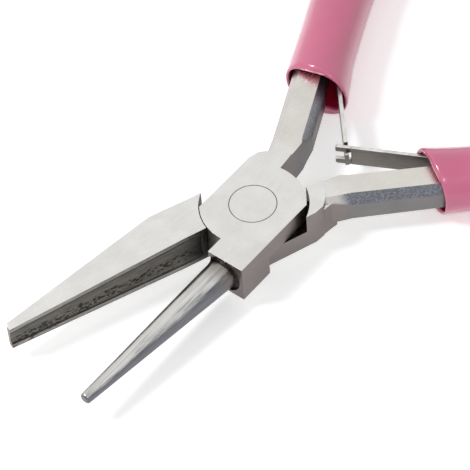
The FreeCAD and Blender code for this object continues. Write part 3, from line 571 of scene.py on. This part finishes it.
def grip_rings():
    """Rings of a grip from deep inside its mouth, round the lip and out to the domed end. Each is the distance
    along the handle, the share of the outer outline over the opening's, the scale and how much it is inside."""
    s = sizes()
    outer, mouth, lip = s.grip_radius, s.grip_mouth, 0.55
    bore_depths, lip_steps, length_steps, dome_steps = (13.0, 9.0, 6.0, 4.0, 2.5, 1.4), 8, 70, 9
    shade_steps = 2    # steps of the lip over which the painted shade of the inside ends
    end = s.bow_start + math.radians(s.bow_angle) * s.bow_radius
    rings = [(mouth + depth, 0.0, 1.0, 1.0) for depth in bore_depths]
    for step in range(lip_steps + 1):
        turn = math.pi * step / lip_steps
        rings.append((mouth + lip - lip * math.sin(turn), (1 - math.cos(turn)) / 2, 1.0,
                      max(0.0, 1 - step / shade_steps)))
    rings += [(mouth + lip + (end - mouth - lip) * step / length_steps, 1.0, 1.0, 0.0)
              for step in range(1, length_steps)]
    for step in range(dome_steps):
        turn = math.pi / 2 * step / dome_steps
        rings.append((end + outer * math.sin(turn), 1.0, math.cos(turn), 0.0))
    return rings, end + outer


def grip_outlines(turn, flare):
    """Across and up offsets of the opening and of the outer outline at a turn round the grip."""
    s = sizes()
    cross, rise = math.cos(turn), math.sin(turn)
    outer = s.grip_radius + s.flare_radius * flare
    squareness = 2 / 3    # 1 would be an ellipse, less is squarer
    opening = ((s.mouth_across + s.flare_radius * flare) * math.copysign(abs(cross) ** squareness, cross),
               s.mouth_height * math.copysign(abs(rise) ** squareness, rise))
    return Vector(opening), Vector((outer * cross, outer * rise))


def dipped_grip(name, side, material):
    """A grip as one skin: its bore, lip, outside and dome, with the slant of its mouth fading along it."""
    s = sizes()
    rings, tip = grip_rings()
    around = 64
    axis = s.handle_axis + s.grip_shift
    slant = math.tan(math.radians(s.mouth_slant))
    slant_fade = 14.0
    lumps_per_mm, lump = 0.14, 0.11    # the dip's lumps, about 7 mm long
    seed = Vector((side * 7.0, 3.0, 1.0))
    points, inside = [], []
    for distance, share, scale, hidden in rings:
        lean = slant * max(0.0, 1 - max(0.0, distance - s.grip_mouth) / slant_fade) ** 2
        for index in range(around):
            turn = 2 * math.pi * index / around
            at = distance - lean * s.grip_radius * math.cos(turn)
            flare = max(0.0, s.flare_from - at) / (s.flare_from - s.grip_mouth + s.grip_radius)
            opening, outline = grip_outlines(turn, flare)
            across, height = opening.lerp(outline, share) * scale
            centre = handle_point(at, axis + s.flare_shift * flare, side)
            spot = handle_point(at, axis + s.flare_shift * flare + across, side)
            spot.z += height
            wave = noise.noise(spot * lumps_per_mm + seed) * lump * share
            points.append(spot + (spot - centre).normalized() * wave)
            inside.append(hidden)
    points.append(handle_point(tip, axis, side))
    inside.append(0.0)
    faces = []
    for ring in range(len(rings) - 1):
        for index in range(around):
            after = (index + 1) % around
            a, b = ring * around, (ring + 1) * around
            faces.append((a + index, a + after, b + after, b + index))
    last = (len(rings) - 1) * around
    faces += [(last + index, last + (index + 1) % around, len(points) - 1) for index in range(around)]
    faces.append(tuple(range(around)))
    piece = mesh_object(name, points, faces, material)
    shade = piece.data.color_attributes.new("inside", "FLOAT_COLOR", "POINT")
    for index, value in enumerate(inside):
        shade.data[index].color = (value, value, value, 1.0)
    return piece


class PLIERS_OT_leaves(bpy.types.Operator):
    """Bend the two leaf springs, each one strip from its tab on the tang to its hook"""
    bl_idname = "pliers.leaves"
    bl_label = "Leaf Springs"

    def execute(self, context):
        material = spring_material()
        jobs = ((FLAT, "fork_spring", "leaf_fork", "leaf_tab_flat_side"),
                (ROUND, "tongue_spring", "leaf_tongue", "leaf_tab_round_side"))
        for side, body, node, tab in jobs:
            piece, root, end = leaf_strip(node + "_strip", side, material)
            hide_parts(node, tab)
            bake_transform(piece)
        for node in ("leaf_rivet_flat_side", "leaf_rivet_round_side"):
            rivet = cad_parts[node].data
            rivet.materials.clear()
            rivet.materials.append(material)
        return {"FINISHED"}


def leaf_line(side):
    """Root, forward and across directions of a leaf's free part, at rest, in millimetres."""
    s = sizes()
    root = along(s.leaf_root, s.leaf_line, side)
    rise = abs(root.y - s.centre_off)
    forward = Vector((math.sqrt(s.leaf_length ** 2 - rise ** 2), side * rise, 0)).normalized()
    across = Vector((-forward.y, forward.x, 0)) * side
    return root, forward, across


def bar(points, faces, spots, thick):
    """Adds a closed bar to a mesh, through spots that each have a point, a low and a high level."""
    first = len(points)
    for spot, low, high in spots:
        points += [spot + thick * step + Vector((0, 0, level))
                   for step, level in ((-1, low), (1, low), (1, high), (-1, high))]
    for ring in range(len(spots) - 1):
        a, b = first + ring * 4, first + ring * 4 + 4
        for index in range(4):
            after = (index + 1) % 4
            faces.append((a + index, a + after, b + after, b + index))
    last = first + (len(spots) - 1) * 4
    faces += [(end, end + 1, end + 2, end + 3) for end in (first, last)]


def leaf_strip(name, side, material):
    """One strip: the tab on the tang, a gentle bend, the straight run and the fork or the tongue. Returned with
    its root and a point further along its free part."""
    s = sizes()
    root, forward, across = leaf_line(side)
    back = (along(s.leaf_root + 1, s.leaf_line, side) - along(s.leaf_root, s.leaf_line, side)).normalized()
    length, wide = s.leaf_length, s.leaf_width / 2
    tab_runs, bend_runs, steps = (s.tab_length, 4.0, 2.0, 1.0), (0.0, 0.7, 1.5), 24
    step_off, soft_edge, bend_over = 0.01, 0.1, 11.0    # a sudden change of height, the rolled edge, the reach of the returned point
    prong_back, prong_round, prong_lean, prong_tip = 0.6, 0.25, 0.05, 0.2    # the prongs' rounded ends
    bent = bend_runs[-1]
    stop = length - (s.fork_in if side == FLAT else s.neck_reach)
    strip = [(root + back * run, -wide, wide) for run in tab_runs]
    strip += [(root + forward * run, -wide, wide) for run in bend_runs]
    strip += [(root + forward * (bent + (stop - bent) * k / steps), -wide, wide) for k in range(1, steps)]
    strip.append((root + forward * stop, -wide, wide))
    bars = [strip]
    if side == FLAT:
        slot = s.fork_slot / 2
        runs = (stop + step_off, stop + prong_back, length, length + s.fork_out - prong_round)
        prong = [(root + forward * run, slot, wide) for run in runs]
        prong.append((root + forward * (length + s.fork_out), slot + prong_lean, wide - prong_tip))
        bars += [prong, [(spot, -high, -low) for spot, low, high in prong]]
    else:
        neck, head = s.neck_width / 2, s.head_width / 2
        strip += [(root + forward * run, -neck, neck)
                  for run in (stop + step_off, length, length + s.neck_reach)]
        strip += [(root + forward * (length + s.neck_reach + run), -head, head)
                  for run in (step_off, s.head_length)]
    points, faces = [], []
    for spots in bars:
        bar(points, faces, spots, across * (s.leaf_thick / 2))
    piece = mesh_object(name, points, faces, material)
    for polygon in piece.data.polygons:
        polygon.use_smooth = False
    edge = piece.modifiers.new("rolled_edges", "BEVEL")
    edge.width = soft_edge * MM
    edge.segments = 2
    return piece, root, root + forward * bend_over


class PLIERS_OT_stage(bpy.types.Operator):
    """Set the pale floor, the soft studio light and the camera"""
    bl_idname = "pliers.stage"
    bl_label = "Stage"

    def execute(self, context):
        scene = context.scene
        scene.view_settings.view_transform = "Standard"
        pale_floor(scene)
        fill_light = 0.5
        world = bpy.data.worlds.new("soft_studio")
        scene.world = world
        world.use_nodes = True
        tree = world.node_tree
        back = tree.nodes["Background"]
        back.inputs["Color"].default_value = (1, 1, 1, 1)
        # white where it is seen, plain soft light where it falls on things
        level = add_node(tree, "MapRange", {"To Min": fill_light, "To Max": 1.0}, {"Value": seen_share(tree)})
        tree.links.new(level.outputs["Result"], back.inputs["Strength"])
        for name, place, width, power in LAMPS:
            lamp = bpy.data.lights.new(name, "AREA")
            lamp.size, lamp.energy = width, power
            stand = bpy.data.objects.new(name, lamp)
            stand.location = place
            stand.rotation_euler = Vector(place).to_track_quat("Z", "Y").to_euler()
            scene.collection.objects.link(stand)
        set_camera(scene)
        return {"FINISHED"}


def pale_floor(scene):
    """A matt white sweep under the pliers. It glows a little where it is seen, so that it reads as white, and
    keeps the shadow."""
    level, reach, glow = cad_box[0][2] - 0.02 * MM, 3.0, 0.42
    mesh = bpy.data.meshes.new("floor")
    corners = [(x * reach, y * reach, level) for x, y in ((-1, -1), (1, -1), (1, 1), (-1, 1))]
    mesh.from_pydata(corners, [], [(0, 1, 2, 3)])
    floor = bpy.data.objects.new("floor", mesh)
    scene.collection.objects.link(floor)
    material, tree, shader = new_material("white_sweep")
    shader.inputs["Base Color"].default_value = linear("#F2F2F2")
    shader.inputs["Roughness"].default_value = 0.9
    share = add_node(tree, "Math", {"operation": "MULTIPLY", 1: glow}, {0: seen_share(tree)}).outputs[0]
    light = add_node(tree, "Emission", None, {"Strength": share})
    both = add_node(tree, "AddShader", None, {0: shader.outputs["BSDF"], 1: light.outputs["Emission"]})
    tree.links.new(both.outputs["Shader"], tree.nodes["Material Output"].inputs["Surface"])
    mesh.materials.append(material)
    return floor


def seen_share(tree):
    """1 for camera, glossy and transmission rays, and 0 for the light that falls on things."""
    path = add_node(tree, "LightPath").outputs
    seen = add_node(tree, "Math", {"operation": "MAXIMUM"},
                    {0: path["Is Camera Ray"], 1: path["Is Glossy Ray"]})
    return add_node(tree, "Math", {"operation": "MAXIMUM"},
                    {0: seen.outputs[0], 1: path["Is Transmission Ray"]}).outputs[0]


def set_camera(scene):
    """The camera looks down on the joint from the front left, as the photograph was taken."""
    heading, elevation, roll = -217.2, 50.5, -5.05    # degrees
    aim_x, aim_y = -3.066, -5.748                     # millimetres from the pivot, along the heading
    distance, sensor = 0.4, 36.0                      # metres, and the sensor's width in millimetres
    focal_pixels, photo_pixels = 2700, 470
    facing = Matrix.Rotation(math.radians(heading), 3, "Z")
    tilt = Matrix.Rotation(math.radians(90 - elevation), 3, "X")
    turn = facing @ tilt @ Matrix.Rotation(math.radians(roll), 3, "Z")
    aim = facing @ Vector((aim_x * MM, aim_y * MM, 0)) + Vector((0, 0, sizes().joint_thick * MM))
    data = bpy.data.cameras.new("camera")
    data.sensor_width = sensor
    data.lens = sensor * focal_pixels / photo_pixels
    data.clip_start, data.clip_end = 0.01, 10.0
    camera = bpy.data.objects.new("camera", data)
    camera.matrix_world = Matrix.Translation(aim + turn @ Vector((0, 0, distance))) @ turn.to_4x4()
    scene.collection.objects.link(camera)
    scene.camera = camera


class PLIERS_PT_panel(bpy.types.Panel):
    """Lists the pieces in the sidebar"""
    bl_idname = "PLIERS_PT_panel"
    bl_label = "Pliers"
    bl_space_type = "VIEW_3D"
    bl_region_type = "UI"
    bl_category = "Pliers"

    def draw(self, context):
        for operator in OPERATORS:
            self.layout.operator(operator.bl_idname)
        for group in (context.scene.pliers_sizes, context.scene.pliers_colours):
            for name in group.__annotations__:
                self.layout.prop(group, name)


OPERATORS = (PLIERS_OT_stage, PLIERS_OT_steel, PLIERS_OT_grips, PLIERS_OT_leaves)
CLASSES = (PliersSizes, PliersColours) + OPERATORS + (PLIERS_PT_panel,)


def register():
    for cls in CLASSES:
        bpy.utils.register_class(cls)
    bpy.types.Scene.pliers_sizes = PointerProperty(type=PliersSizes)
    bpy.types.Scene.pliers_colours = PointerProperty(type=PliersColours)


def unregister():
    del bpy.types.Scene.pliers_colours
    del bpy.types.Scene.pliers_sizes
    for cls in reversed(CLASSES):
        bpy.utils.unregister_class(cls)


def main():
    register()
    bpy.ops.pliers.stage()
    bpy.ops.pliers.steel()
    bpy.ops.pliers.grips()
    bpy.ops.pliers.leaves()


if __name__ == "__main__":
    main()
